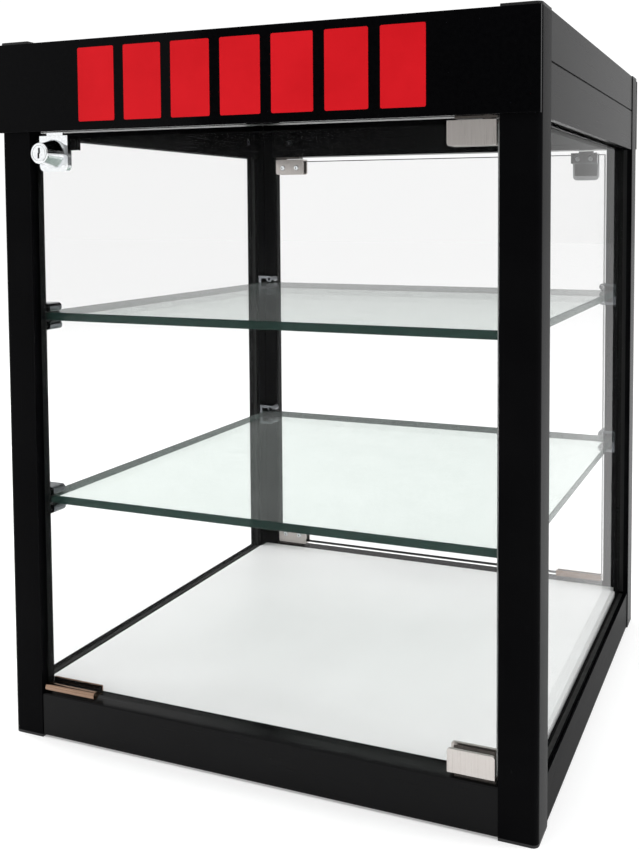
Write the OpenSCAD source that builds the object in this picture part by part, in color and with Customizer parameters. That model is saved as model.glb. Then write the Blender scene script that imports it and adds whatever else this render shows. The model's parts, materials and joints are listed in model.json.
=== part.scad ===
// Tabletop display case: four corner posts, bottom rails and headers, fixed side
// panes, two glass shelves, and a pivoting lockable glass door at the front and at the rear.
// Millimetres. +Z up, front towards -Y, origin at the middle of the footprint on the table.

/* [Case] */
// Overall width, outside the posts
case_w = 400; // [330:1:560]
// Overall depth, outside the posts
case_d = 384; // [300:1:560]
// Overall height, from the feet to the top of the post caps
case_h = 512; // [420:1:760]

/* [Posts] */
// Width of both outer faces of a corner post
post_w = 25.4; // [25:0.1:32]
// Thickness of the post leg beside a door
door_leg = 12; // [11.6:0.1:15]
// Radius of the outer corner of a post
post_r = 4; // [1:0.5:6]
// Wall left around the hollow of a post or rail
wall = 2; // [1.4:0.1:2.6]
// Thickness of a foot cap under a post
foot_t = 2; // [1:0.5:5]
// Thickness of a cap on top of a post
cap_t = 2; // [1:0.5:5]
// Length of the plug under a cap
cap_plug = 8; // [4:1:12]

/* [Rails] */
// Height of the bottom rails
rail_h = 31.2; // [28:0.1:44]
// How far the rails sit back from the post faces
rail_in = 0.6; // [0:0.1:1.5]
// Depth of the front and rear bottom rails
rail_d = 14.8; // [14.4:0.1:20]
// Width of the ledge that carries the deck
ledge_w = 5.6; // [3:0.1:8]
// Thickness of the ledge that carries the deck
ledge_t = 3; // [2:0.1:5]
// Edge chamfer along a rail
rail_chamfer = 0.8; // [0.3:0.1:1.5]

/* [Headers] */
// Height of the front and rear fascias
fascia_h = 63; // [56:0.5:90]
// Thickness of a fascia, which lies on the post faces
fascia_t = 2.6; // [2:0.1:4]
// How far the side headers reach below the fascias
side_header_low = 1.6; // [0:0.1:6]
// How far the side headers stay below the tops of the caps
side_header_drop = 0.6; // [0:0.1:2]
// Thickness of the ribs that hold a fascia
rib_t = 1.6; // [1:0.1:2.4]
// Depth of the ribs that hold a fascia
rib_d = 3; // [2:0.1:4]
// Thickness of the header flanges that take the ribs
flange_t = 4; // [3.4:0.1:5]
// Depth of the header rail behind a fascia, from the post face to its back
header_d = 16; // [14.5:0.1:22]
// Depth of the space behind a fascia that takes the lock bolt
bolt_room = 4.9; // [4.4:0.1:6]
// Height of the space behind a fascia that takes the lock bolt
bolt_room_h = 15; // [10:0.5:20]
// Width and depth of the shadow groove along a side header
groove = 1.2; // [0.6:0.1:2]
// Height of the shadow groove above the middle of a side header
groove_up = 2; // [0:0.5:6]

/* [Connectors] */
// Thickness of a connector bar
tenon_t = 4; // [3:0.1:4.4]
// Height of a connector bar
tenon_h = 12; // [9:0.1:14]
// Length of a connector bar inside a post
tenon_in_post = 9; // [6:0.1:9.5]
// Length of a connector bar inside a rail
tenon_in_rail = 30; // [24:0.5:45]
// Diameter of a connector screw
tenon_screw_d = 6; // [4:0.1:7]
// Distance from the post to a connector screw
tenon_screw_at = 20; // [10:0.5:20]

/* [Panels] */
// Thickness of the white deck board
deck_t = 6; // [4:0.5:9]
// Thickness of the top panel
top_t = 3; // [2:0.5:5]
// How far the top panel lies below the tops of the posts
top_drop = 1; // [0.2:0.1:2]
// Width of the rebate that carries the top panel
top_rest = 4.6; // [3:0.1:6]

/* [Side glass] */
// Thickness of the fixed side panes
side_glass_t = 4; // [3:0.5:6]
// How far the outer face of a side pane sits in from the post face
side_glass_in = 8; // [7.4:0.1:9]
// Depth of the slots that hold a side pane
slot_d = 8; // [5:0.5:10]
// Thickness of the metal outside the glazing slot
slot_outer = 4.4; // [3.8:0.1:5]
// Thickness of the metal inside the glazing slot
slot_inner = 1.2; // [1:0.1:2]
// Gap between a pane and what holds it
glass_gap = 0.2; // [0.1:0.05:0.4]
// How far a glazing seal stays below the edge of its slot
seal_sunk = 1.4; // [0.5:0.1:3]

/* [Shelves] */
// Thickness of a glass shelf
shelf_t = 6; // [4:0.5:8]
// Height of the top face of the lower shelf above the table
low_shelf_z = 178; // [110:1:240]
// Height of the top face of the upper shelf above the table
high_shelf_z = 315.6; // [245:1:390]
// Gap from the post faces to the front and rear edges of a shelf
shelf_in = 16.6; // [16.2:0.1:26]
// Length of a shelf clip along the shelf edge
clip_len = 13; // [8:0.5:16]
// Distance from the inner edge of a post back to the middle of a shelf clip
clip_back = 5.2; // [4.4:0.1:5.8]
// Diameter of the rolled nose of a clip jaw
nose_d = 6.4; // [5:0.1:8]
// Diameter of the bore along the nose
nose_bore_d = 3.2; // [1.5:0.1:4]
// Thickness of the plate and arms of a clip
clip_t = 2.6; // [1.8:0.1:3.4]
// Reach of a clip from the post
clip_reach = 15.4; // [12:0.1:20]
// Thickness of the rubber pad on a jaw
pad_t = 0.5; // [0.3:0.05:0.7]
// Width of the rubber pad on a jaw
pad_w = 2; // [1:0.1:3]
// Shank diameter of a clip screw
clip_screw_d = 2.4; // [1.8:0.1:2.8]
// Head diameter of a clip screw
clip_head_d = 3.6; // [2.8:0.1:4]
// Length of a clip screw inside the post
clip_screw_len = 5; // [3:0.5:7]

/* [Doors] */
// Thickness of a glass door
door_t = 6; // [5:0.5:7]
// How far the front face of a door sits behind the post faces
door_in = 5; // [4.8:0.1:6]
// Gap between a door edge and the post beside it
door_side_gap = 1.8; // [1:0.1:4]
// Gap between the bottom edge of a door and the rail
door_low_gap = 4.6; // [4:0.1:8]
// Gap between the top edge of a door and the header
door_top_gap = 4.3; // [4:0.1:8]
// Distance from the post to the pivot axis
pivot_off = 8.6; // [8.4:0.1:12]

/* [Hinges] */
// Width of a hinge clamp
hinge_w = 31.5; // [24:0.5:45]
// Height of a hinge clamp
hinge_h = 15.5; // [12:0.5:24]
// Thickness of the hinge plates
hinge_plate = 2; // [1.5:0.1:2.4]
// Thickness of the hinge web across the edge of the glass
hinge_web = 1.7; // [1.2:0.1:2.4]
// Corner radius of a hinge plate
hinge_r = 2; // [0.5:0.1:3]
// Gap from the edge of the glass to the hinge clamp
hinge_edge = 0.8; // [0.4:0.1:3]
// Diameter of a pivot pin
pin_d = 5; // [3:0.1:6]
// Length of a pivot pin below its web
pin_len = 7; // [5:0.1:10]
// Wall of the pivot bush
bush_wall = 1.6; // [1:0.1:2.4]
// Length of a pivot seat
seat_w = 27; // [20:0.5:36]
// Thickness of a pivot seat
seat_t = 1.5; // [1:0.1:2]
// Distance between the two clamp screws of a hinge
hinge_screw_gap = 16; // [10:0.5:22]
// Diameter of a hinge screw head
hinge_screw_d = 5.2; // [4:0.1:7]
// Radial clearance of a part that turns
run_gap = 0.05; // [0.02:0.01:0.09]
// How far a hinge screw head stands out of its plate
hinge_screw_proud = 0.6; // [0:0.1:1]
// Plate left beyond the bush at the end of a pivot seat
seat_end = 2; // [1:0.1:4]
// Bush left below the end of a pivot pin
bush_end = 1; // [0.5:0.1:2]
// Diameter of a pivot seat screw
seat_screw_d = 3; // [2:0.1:4]
// Length of a pivot seat screw below the seat
seat_screw_len = 4; // [3:0.5:6]
// Distance from the pivot axis to the nearer seat screw
seat_screw_from = 9; // [8:0.5:10]
// Distance between the two screws of a pivot seat
seat_screw_gap = 8; // [5:0.5:10]

/* [Locks] */
// Width of a lock body
lock_w = 24.6; // [22:0.1:32]
// How far a lock body reaches down over the glass
lock_drop = 24; // [24:0.1:34]
// Thickness of the lock body in front of the glass
lock_t = 4.3; // [4.1:0.1:4.4]
// Distance from the edge of the glass to the middle of the lock
lock_edge = 19; // [14:0.1:24]
// Distance from the top edge of the glass down to the lock axis
lock_axis_drop = 11.8; // [11.8:0.1:16]
// Thickness of the lock body above the edge of the glass
lock_bridge = 1.2; // [0.8:0.1:1.8]
// Metal left between the bolt and the glass
lock_back = 0.9; // [0.6:0.1:1]
// Height of the jaw behind the glass
lock_jaw_h = 8.6; // [8:0.1:16]
// Thickness of the jaw behind the glass
lock_jaw_t = 3; // [2:0.1:4]
// Corner radius of a lock body
lock_r = 4.2; // [2:0.1:6]
// Diameter of the barrel where it meets the lock body
barrel_base_d = 20.6; // [18:0.1:22]
// Metal left around the plug at the face of the barrel
barrel_wall = 1.9; // [1.2:0.1:2.6]
// Length of the barrel
barrel_len = 15.4; // [12:0.1:20]
// Length of the straight band at the base of the barrel
barrel_band = 1.6; // [0.8:0.1:3]
// Chamfer around the face of the barrel
barrel_edge = 0.6; // [0.3:0.1:1]
// How hollow the curve of the barrel is (1 is a straight cone)
barrel_curve = 1.7; // [1:0.1:2.4]
// Diameter of the turning plug
plug_d = 11; // [10:0.1:12]
// Width of the keyway
keyway_w = 1.3; // [0.8:0.1:2]
// Height of the keyway
keyway_h = 6.8; // [5:0.1:8]
// Sideways step between the two halves of the keyway
keyway_step = 0.5; // [0.1:0.1:1]
// Depth of the keyway
keyway_deep = 9; // [6:0.5:12]
// Width of the lock bolt
bolt_w = 14; // [13:0.1:16]
// Thickness of the lock bolt
bolt_t = 1.8; // [1.4:0.1:2]
// Gap between the resting bolt and the underside of the fascia
bolt_rest_gap = 0.7; // [0.4:0.1:1.5]
// Travel of the lock bolt
bolt_travel = 5.5; // [4:0.1:6.5]
// Diameter of the drive pin on the plug
drive_pin_d = 2.6; // [2:0.1:3]
// Play of the drive pin in its slot in the bolt
drive_play = 0.5; // [0.2:0.1:0.8]
// Margin around the pads of a lock
pad_margin = 2; // [1:0.5:4]
// Diameter of a lock grub screw
grub_d = 4; // [3:0.1:5]
// How far a lock grub screw stands out of its jaw
grub_proud = 0.4; // [0:0.1:1]

/* [Door clips] */
// Length of the bottom edge clip of a door
edge_clip_len = 43.3; // [30:0.1:60]
// Diameter of the rounded front of the edge clip
edge_clip_d = 6; // [5:0.1:6.6]
// Height of the back leg of the edge clip above the bottom edge of the glass
edge_clip_back = 4; // [4:0.1:9]
// Wall of the edge clip
edge_clip_t = 1.4; // [1:0.1:2]
// How far the middle of the rounded front lies ahead of the glass
edge_clip_front = 1; // [0.6:0.1:1.6]
// How far the middle of the rounded front lies below the edge of the glass
edge_clip_low = 0.4; // [0:0.1:0.8]
// Distance from the side edge of the glass to the edge clip
edge_clip_edge = 0.3; // [0:0.1:20]

/* [Graphic] */
// Number of plain blocks on the front fascia
block_count = 7; // [1:1:12]
// Width of one block
block_w = 30; // [10:0.5:40]
// Gap between blocks
block_gap = 8; // [2:0.5:20]
// Margin above and below the blocks
block_margin = 6; // [3:0.5:20]
// Thickness of the applied film
film_t = 0.2; // [0.1:0.05:0.4]

/* [Hidden] */
$fn = 48;

satin_black = "#1d1d1e";
gloss_black = "#0a0a0b";
rubber_black = "#151515";
deck_white = "#e9e9e9";
glass_tint = "#cfe0d9";
nickel = "#b9b3ad";
chrome_grey = "#d4d6d8";
bronze = "#a38070";
signal_red = "#e21e26";
zinc = "#9a9da0";

// A small cut allowance, so that a cut passes its face
over = 1;
// Gap between pieces that are pushed together
push_gap = 0.1;
// Radial gap of a pin that is pressed into its hole
press_gap = 0.01;
// Depth of a hexagonal socket in a screw head
socket_deep = 1;

// Heights
post_top = case_h - cap_t;
rail_top = foot_t + rail_h;
header_z = post_top - fascia_h;
side_header_top = case_h - side_header_drop;
side_header_z = header_z - side_header_low;
side_header_h = side_header_top - side_header_z;
top_panel_z = post_top - top_drop - top_t;
deck_z = rail_top - deck_t;
slot_floor = deck_z - ledge_t;

// Section of the side leg, from the outer face inwards
slot_in = side_glass_in + side_glass_t + glass_gap;
side_leg = slot_in + slot_inner;

// Lengths between the posts
span_x = case_w - 2 * post_w;
span_y = case_d - 2 * post_w;

// Door
door_x0 = -case_w / 2 + post_w + door_side_gap;
door_x1 = -door_x0;
door_y0 = -case_d / 2 + door_in;
door_z0 = rail_top + door_low_gap;
door_z1 = header_z - door_top_gap;
pivot_x = case_w / 2 - post_w - pivot_off;
pivot_y = door_y0 + door_t / 2;

// Lock
lock_x = door_x0 + lock_edge;
lock_z = door_z1 - lock_axis_drop;
lock_top = door_z1 + glass_gap + lock_bridge;
lock_y0 = door_y0 - pad_t - lock_t;
bolt_y = door_y0 - pad_t - lock_back - push_gap - bolt_t;
bolt_top = header_z - bolt_rest_gap;
// The drive pin swings a quarter turn, half of it below the plug's axis
pin_throw = bolt_travel / (2 * sin(45));
bolt_low = lock_z - pin_throw - drive_pin_d;

// Heights of the connectors: mid-height in the bottom rails, and just above the side panes
tenon_low_z = (foot_t + slot_floor) / 2;
tenon_high_z = side_header_z + slot_d + wall + push_gap + tenon_h / 2;

// Flanges that carry the fascia, as [height of the underside, thickness]
flanges = [[header_z + bolt_room_h, flange_t], [post_top - flange_t, flange_t]];

// Shelves and clips
shelf_edge = side_leg + clip_t + push_gap;
nose_z = shelf_t / 2 + pad_t + nose_d / 2;
nose_x = side_leg + clip_reach - nose_d / 2;
clip_mid = post_w - clip_back;
clip_screw_in = clip_mid - clip_len / 2 + clip_head_d / 2 + 2 * push_gap;

// Hinges and seats
hinge_x1 = door_x1 - hinge_edge;
hinge_mid_x = hinge_x1 - hinge_w / 2;
hinge_screw_z = (hinge_h - hinge_web - glass_gap) / 2;
lower_rise = door_low_gap - hinge_web - glass_gap - push_gap;
upper_rise = door_top_gap - hinge_web - glass_gap - push_gap;

// ---------- placing ----------

// The rear of the case is the front turned half round
module turned() rotate([0, 0, 180]) children();

// Drawn from the front left corner of the footprint
module from_corner(z = 0) translate([-case_w / 2, -case_d / 2, z]) children();

// One child on the left and one on the right, drawn for the left
module left_and_right() for (mx = [0, 1]) mirror([mx, 0, 0]) children();

// One child at the front and one at the rear, drawn for the front
module front_and_rear() for (my = [0, 1]) mirror([0, my, 0]) children();

// One child at each corner, drawn for the front left one
module at_corners() left_and_right() front_and_rear() from_corner() children();

module rounded_rect(size, r) {
    translate([r, 0]) square([size[0] - 2 * r, size[1]]);
    translate([0, r]) square([size[0], size[1] - 2 * r]);
    for (x = [r, size[0] - r], y = [r, size[1] - r])
        translate([x, y]) circle(r);
}

// ---------- posts ----------

// Outline of a post seen from above, with its outer corner at the origin
module post_outline() {
    difference() {
        union() {
            square([post_w, door_leg]);
            square([side_leg, post_w]);
        }
        difference() {
            translate([-over, -over]) square(post_r + over);
            translate([post_r, post_r]) circle(post_r);
        }
    }
}

module post_hollow(gap = 0) {
    translate([wall + gap, wall + gap])
        square([side_leg - 2 * wall - 2 * gap, door_leg - 2 * wall - 2 * gap]);
}

// Pockets that take the connectors of the rails
module connector_pockets() {
    for (z = [tenon_low_z, tenon_high_z]) from_corner() {
        long_tenon(z, push_gap);
        side_tenon(z, push_gap);
    }
}

module front_left_post_shape() {
    difference() {
        from_corner(foot_t) linear_extrude(post_top - foot_t) difference() {
            post_outline();
            post_hollow();
            translate([slot_outer, post_w - slot_d])
                square([slot_in - slot_outer, slot_d + over]);
        }
        connector_pockets();
        for (z = [low_shelf_z, high_shelf_z])
            from_corner(z - shelf_t / 2) clip_screw_shape(push_gap);
    }
}

module front_left_post() color(satin_black) front_left_post_shape();
module front_right_post() color(satin_black) mirror([1, 0, 0]) front_left_post_shape();
module rear_left_post() color(satin_black) mirror([0, 1, 0]) front_left_post_shape();
module rear_right_post() color(satin_black) turned() front_left_post_shape();

module cap_shape(thick) {
    linear_extrude(thick) post_outline();
    translate([0, 0, thick]) linear_extrude(cap_plug) post_hollow(push_gap);
}

module post_foot_caps() color(rubber_black) at_corners() cap_shape(foot_t);

module post_top_caps() color(rubber_black)
    at_corners() translate([0, 0, case_h]) mirror([0, 0, 1]) cap_shape(cap_t);

// ---------- bottom rails ----------

// Extrudes a section drawn as (distance in from the front, height) along the front
module along_front(length) {
    translate([-length / 2, -case_d / 2, 0])
        rotate([90, 0, 90]) linear_extrude(length) children();
}

// Extrudes a section drawn as (distance in from the left, height) along the left side
module along_left(length) {
    translate([-case_w / 2, length / 2, 0])
        rotate([90, 0, 0]) linear_extrude(length) children();
}

module front_rail_section() {
    back = rail_in + rail_d;
    difference() {
        polygon([
            [rail_in, foot_t], [rail_in, rail_top - rail_chamfer],
            [rail_in + rail_chamfer, rail_top], [back, rail_top],
            [back, deck_z], [back + ledge_w, deck_z],
            [back + ledge_w, slot_floor], [back, slot_floor], [back, foot_t]
        ]);
        translate([rail_in + wall, foot_t + wall])
            square([rail_d - 2 * wall, rail_h - 2 * wall]);
    }
}

module side_rail_section() {
    lip = rail_in + groove;
    ridge = lip + groove;
    difference() {
        polygon([
            [rail_in, foot_t], [rail_in, rail_top], [lip, rail_top],
            [lip, rail_top - 2 * groove], [ridge, rail_top - 2 * groove],
            [ridge, rail_top - groove / 2], [slot_outer, rail_top - groove / 2],
            [slot_outer, slot_floor], [slot_in, slot_floor], [slot_in, deck_z],
            [side_leg + ledge_w, deck_z], [side_leg + ledge_w, slot_floor],
            [side_leg, slot_floor], [side_leg, foot_t]
        ]);
        translate([rail_in + wall, foot_t + wall])
            square([side_leg - rail_in - 2 * wall, slot_floor - foot_t - 2 * wall]);
    }
}

module front_rail_shape() {
    difference() {
        along_front(span_x) front_rail_section();
        left_and_right() from_corner() long_tenon_screw(tenon_low_z, rail_in + rail_d, push_gap);
        lower_seat_cut();
    }
}

module front_bottom_rail() color(satin_black) front_rail_shape();
module rear_bottom_rail() color(satin_black) turned() front_rail_shape();

module left_rail_shape() {
    difference() {
        along_left(span_y) side_rail_section();
        front_and_rear() from_corner() side_tenon_screw(tenon_low_z, push_gap);
    }
}

module left_bottom_rail() color(satin_black) left_rail_shape();
module right_bottom_rail() color(satin_black) turned() left_rail_shape();

// ---------- headers ----------

module header_rail_section() {
    difference() {
        union() {
            translate([bolt_room, header_z]) square([header_d - bolt_room, fascia_h]);
            for (f = flanges) translate([0, f[0]]) square([header_d, f[1]]);
        }
        translate([bolt_room + wall, header_z + wall])
            square([header_d - bolt_room - 2 * wall, top_panel_z - header_z - 2 * wall]);
        translate([header_d - top_rest, top_panel_z]) square([top_rest + over, fascia_h]);
        for (f = flanges)
            translate([-over, f[0] + (f[1] - rib_t) / 2 - push_gap])
                square([rib_d + push_gap + over, rib_t + 2 * push_gap]);
    }
}

module header_rail_shape() {
    difference() {
        along_front(span_x) header_rail_section();
        left_and_right() from_corner() long_tenon_screw(tenon_high_z, header_d, push_gap);
        upper_seat_cut();
    }
}

module front_header_rail() color(satin_black) header_rail_shape();
module rear_header_rail() color(satin_black) turned() header_rail_shape();

module fascia_shape() {
    translate([-case_w / 2, -case_d / 2 - fascia_t, header_z])
        cube([case_w, fascia_t, fascia_h]);
    for (f = flanges)
        translate([-span_x / 2, -case_d / 2 - over / 2, f[0] + (f[1] - rib_t) / 2])
            cube([span_x, rib_d + over / 2, rib_t]);
}

module front_fascia() color(gloss_black) fascia_shape();
module rear_fascia() color(gloss_black) turned() fascia_shape();

// Plain upright blocks of red film, with no lettering
module graphic_shape() {
    row = block_count * block_w + (block_count - 1) * block_gap;
    for (i = [0 : block_count - 1])
        translate([-row / 2 + i * (block_w + block_gap),
                   -case_d / 2 - fascia_t - film_t, header_z + block_margin])
            cube([block_w, film_t, fascia_h - 2 * block_margin]);
}

module fascia_graphics() color(signal_red) graphic_shape();

module side_header_section() {
    groove_z = side_header_z + side_header_h / 2 + groove_up;
    difference() {
        translate([rail_in, side_header_z]) square([side_leg - rail_in, side_header_h]);
        translate([0, groove_z - groove / 2]) square([rail_in + groove, groove]);
        translate([slot_outer, side_header_z - over])
            square([slot_in - slot_outer, slot_d + over]);
        translate([rail_in + groove + wall, side_header_z + slot_d + wall])
            square([side_leg - rail_in - groove - 2 * wall,
                    top_panel_z - side_header_z - slot_d - 2 * wall]);
        translate([side_leg - top_rest, top_panel_z]) square([top_rest + over, side_header_h]);
    }
}

module left_header_shape() {
    difference() {
        along_left(span_y) side_header_section();
        front_and_rear() from_corner() side_tenon_screw(tenon_high_z, push_gap);
    }
}

module left_header() color(satin_black) left_header_shape();
module right_header() color(satin_black) turned() left_header_shape();

// ---------- connectors between rails and posts ----------

// A bar along X that joins a front rail to the post at its left end
module long_tenon(z, gap = 0) {
    y = bolt_room + wall + push_gap;
    translate([post_w - tenon_in_post - gap, y - gap, z - tenon_h / 2 - gap])
        cube([tenon_in_post + tenon_in_rail + 2 * gap, tenon_t + 2 * gap, tenon_h + 2 * gap]);
}

// A bar along Y that joins a side rail to the post at its front end
module side_tenon(z, gap = 0) {
    x = slot_outer + 2 * push_gap;
    translate([x - gap, post_w - tenon_in_post - gap, z - tenon_h / 2 - gap])
        cube([tenon_t + 2 * gap, tenon_in_post + tenon_in_rail + 2 * gap, tenon_h + 2 * gap]);
}

// The screw that locks a long tenon, from inside the case; it ends flush with the rail at back
module long_tenon_screw(z, back, gap = 0) {
    y = bolt_room + wall + push_gap + tenon_t;
    translate([post_w + tenon_screw_at, y - gap, z])
        rotate([-90, 0, 0]) cylinder(d = tenon_screw_d + 2 * gap, h = back - y + 2 * gap);
}

module side_tenon_screw(z, gap = 0) {
    x = slot_outer + 2 * push_gap + tenon_t;
    translate([x - gap, post_w + tenon_screw_at, z])
        rotate([0, 90, 0]) cylinder(d = tenon_screw_d + 2 * gap, h = side_leg - x + 2 * gap);
}

// A socket sunk along +Z into a screw whose head face is at z = 0
module hex_socket(head_d)
    translate([0, 0, -socket_deep]) cylinder(d = head_d / 2, h = socket_deep + over, $fn = 6);

module frame_connectors() color(zinc)
    for (z = [tenon_low_z, tenon_high_z]) at_corners() {
        long_tenon(z);
        side_tenon(z);
    }

// Heights of the connector screws, each with the back of the rail that takes the long one
screw_rows = [[tenon_low_z, rail_in + rail_d], [tenon_high_z, header_d]];

module connector_screws() color(zinc)
    for (row = screw_rows) at_corners() {
        difference() {
            long_tenon_screw(row[0], row[1]);
            translate([post_w + tenon_screw_at, row[1], row[0]])
                rotate([-90, 0, 0]) hex_socket(tenon_screw_d);
        }
        difference() {
            side_tenon_screw(row[0]);
            translate([side_leg, post_w + tenon_screw_at, row[0]])
                rotate([0, 90, 0]) hex_socket(tenon_screw_d);
        }
    }

// ---------- panels ----------

// A board with its corners cut around the posts
module board(x_in, y_in, z, thick) {
    difference() {
        translate([-case_w / 2 + x_in, -case_d / 2 + y_in, z])
            cube([case_w - 2 * x_in, case_d - 2 * y_in, thick]);
        at_corners() translate([0, 0, z - over]) linear_extrude(thick + 2 * over) {
            square([post_w + push_gap, door_leg + push_gap]);
            square([side_leg + push_gap, post_w + push_gap]);
        }
    }
}

module top_panel() color(satin_black)
    board(side_leg - top_rest + push_gap, header_d - top_rest + push_gap, top_panel_z, top_t);

module deck_board() color(deck_white)
    board(slot_in, rail_in + rail_d + push_gap, deck_z, deck_t);

module side_glass_shape() {
    y0 = post_w - slot_d + push_gap;
    translate([-case_w / 2 + side_glass_in, -case_d / 2 + y0, slot_floor + push_gap])
        cube([side_glass_t, case_d - 2 * y0, side_header_z + slot_d - slot_floor - 2 * push_gap]);
}

module left_glass() color(glass_tint) side_glass_shape();
module right_glass() color(glass_tint) turned() side_glass_shape();

// Rubber strips that press each side pane towards the inside of its slot
module seal_set() {
    x = -case_w / 2 + slot_outer;
    thick = side_glass_in - slot_outer;
    front_and_rear()
        translate([x, -case_d / 2 + post_w - slot_d + seal_sunk, rail_top])
            cube([thick, slot_d - 2 * seal_sunk, side_header_z - rail_top]);
    translate([x, -span_y / 2, slot_floor + seal_sunk])
        cube([thick, span_y, rail_top - slot_floor - 2 * seal_sunk]);
    translate([x, -span_y / 2, side_header_z + seal_sunk])
        cube([thick, span_y, slot_d - 2 * seal_sunk]);
}

module glazing_seals() color(rubber_black) left_and_right() seal_set();

// ---------- shelves and their clips ----------

module shelf_shape(top_z) {
    translate([-case_w / 2 + shelf_edge, -case_d / 2 + shelf_in, top_z - shelf_t])
        cube([case_w - 2 * shelf_edge, case_d - 2 * shelf_in, shelf_t]);
}

module upper_shelf() color(glass_tint) shelf_shape(high_shelf_z);
module lower_shelf() color(glass_tint) shelf_shape(low_shelf_z);

// Section of a clip in the plane across the shelf edge
module clip_section() {
    difference() {
        union() {
            translate([side_leg, -nose_z - nose_d / 2]) square([clip_t, 2 * nose_z + nose_d]);
            for (s = [-1, 1]) {
                translate([nose_x, s * nose_z]) circle(d = nose_d);
                translate([side_leg, s * (nose_z + (nose_d - clip_t) / 2) - clip_t / 2])
                    square([nose_x - side_leg, clip_t]);
            }
        }
        for (s = [-1, 1]) translate([nose_x, s * nose_z]) circle(d = nose_bore_d);
    }
}

module clip_shape() {
    difference() {
        translate([0, clip_mid + clip_len / 2, 0]) rotate([90, 0, 0])
            linear_extrude(clip_len) clip_section();
        clip_screw_shape(push_gap);
    }
}

// A countersunk screw through the clip plate into the solid part of the post
module clip_screw_shape(gap = 0) {
    translate([side_leg - clip_screw_len - gap, clip_screw_in, 0]) rotate([0, 90, 0])
        cylinder(d = clip_screw_d + 2 * gap, h = clip_screw_len + clip_t / 2 + gap);
    translate([side_leg + clip_t / 2, clip_screw_in, 0]) rotate([0, 90, 0])
        cylinder(d1 = clip_screw_d + 2 * gap, d2 = clip_head_d + 2 * gap, h = clip_t / 2 + gap / 2);
}

module clips_at(top_z) at_corners() translate([0, 0, top_z - shelf_t / 2]) clip_shape();

module upper_shelf_clips() color(chrome_grey) clips_at(high_shelf_z);
module lower_shelf_clips() color(chrome_grey) clips_at(low_shelf_z);

module shelf_clip_pads() color(rubber_black)
    for (z = [low_shelf_z, high_shelf_z], s = [-1, 1]) at_corners()
        translate([nose_x - pad_w / 2, clip_mid - clip_len / 2,
                   z - shelf_t / 2 + s * (shelf_t + pad_t) / 2 - pad_t / 2])
            cube([pad_w, clip_len, pad_t]);

module shelf_clip_screws() color(chrome_grey)
    for (z = [low_shelf_z, high_shelf_z]) at_corners()
        translate([0, 0, z - shelf_t / 2]) difference() {
            clip_screw_shape();
            translate([side_leg + clip_t, clip_screw_in, 0])
                rotate([0, 90, 0]) hex_socket(clip_head_d);
        }

// ---------- door and its fittings, drawn for the front ----------

module door_glass_shape() {
    translate([door_x0, door_y0, door_z0])
        cube([door_x1 - door_x0, door_t, door_z1 - door_z0]);
}

// A clamp over the bottom edge of the glass; z = 0 is that edge
module hinge_shape() {
    outer = 2 * hinge_plate + 2 * pad_t + door_t;
    base = hinge_web + glass_gap;
    difference() {
        translate([hinge_x1 - hinge_w, door_y0 - pad_t - hinge_plate, 0]) {
            translate([0, 0, -base]) cube([hinge_w, outer, hinge_web]);
            for (y = [0, outer - hinge_plate])
                translate([0, y + hinge_plate, -base]) rotate([90, 0, 0])
                    linear_extrude(hinge_plate) top_rounded([hinge_w, hinge_h], hinge_r);
        }
        translate([pivot_x, pivot_y, -base - over])
            cylinder(d = pin_d + 2 * press_gap, h = base + over);
        hinge_screws_at(push_gap / 2);
    }
}

// A rectangle with rounded corners at its top only
module top_rounded(size, r) {
    square([size[0], size[1] - r]);
    translate([r, 0]) square([size[0] - 2 * r, size[1]]);
    for (x = [r, size[0] - r]) translate([x, size[1] - r]) circle(r);
}

module hinge_pin_shape() {
    translate([pivot_x, pivot_y, -hinge_web - glass_gap - pin_len])
        cylinder(d = pin_d, h = pin_len + hinge_web);
}

module hinge_pads_shape() {
    for (y = [door_y0 - pad_t, door_y0 + door_t])
        translate([hinge_x1 - hinge_w + hinge_r, y, 0])
            cube([hinge_w - 2 * hinge_r, pad_t, hinge_h - hinge_web - glass_gap - hinge_r]);
}

// Places the two screws of a hinge; +Z runs along a screw, from the glass to its head
module at_hinge_screws() {
    for (s = [-1, 1])
        translate([hinge_mid_x + s * hinge_screw_gap / 2, door_y0 + door_t + pad_t, hinge_screw_z])
            rotate([-90, 0, 0]) children();
}

module hinge_screws_at(gap = 0) at_hinge_screws() translate([0, 0, -gap])
    cylinder(d = hinge_screw_d + 2 * gap, h = hinge_plate + hinge_screw_proud + 2 * gap);

module hinge_screws_shape() {
    difference() {
        hinge_screws_at();
        at_hinge_screws() translate([0, 0, hinge_plate + hinge_screw_proud])
            hex_socket(hinge_screw_d);
    }
}

// Places a fitting drawn for the bottom edge of the glass, and its copy at the top edge
module at_lower() translate([0, 0, door_z0]) children();
module at_upper() translate([0, 0, door_z1]) mirror([0, 0, 1]) children();
module at_both() {
    at_lower() children();
    at_upper() children();
}

// The seat that takes a pivot pin; z = 0 is the face of the rail, the bush goes below
module seat_shape(rise, gap = 0) {
    bush_r = pin_d / 2 + run_gap + bush_wall;
    deep = pin_len + hinge_web - rise + bush_end;
    difference() {
        union() {
            if (gap == 0) translate([pivot_x - seat_w + bush_r + seat_end, pivot_y - bush_r, 0])
                cube([seat_w, 2 * bush_r, seat_t]);
            translate([pivot_x, pivot_y, -deep]) cylinder(r = bush_r + gap, h = deep + rise);
        }
        if (gap == 0) {
            translate([pivot_x, pivot_y, -deep - over])
                cylinder(d = pin_d + 2 * run_gap, h = deep + rise + 2 * over);
            seat_screws_at(push_gap / 2);
        }
    }
}

module seat_screws_at(gap = 0) {
    for (i = [0, 1])
        translate([pivot_x - seat_screw_from - i * seat_screw_gap, pivot_y, -seat_screw_len - gap])
            cylinder(d = seat_screw_d + 2 * gap, h = seat_screw_len + seat_t + 2 * gap);
}

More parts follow.
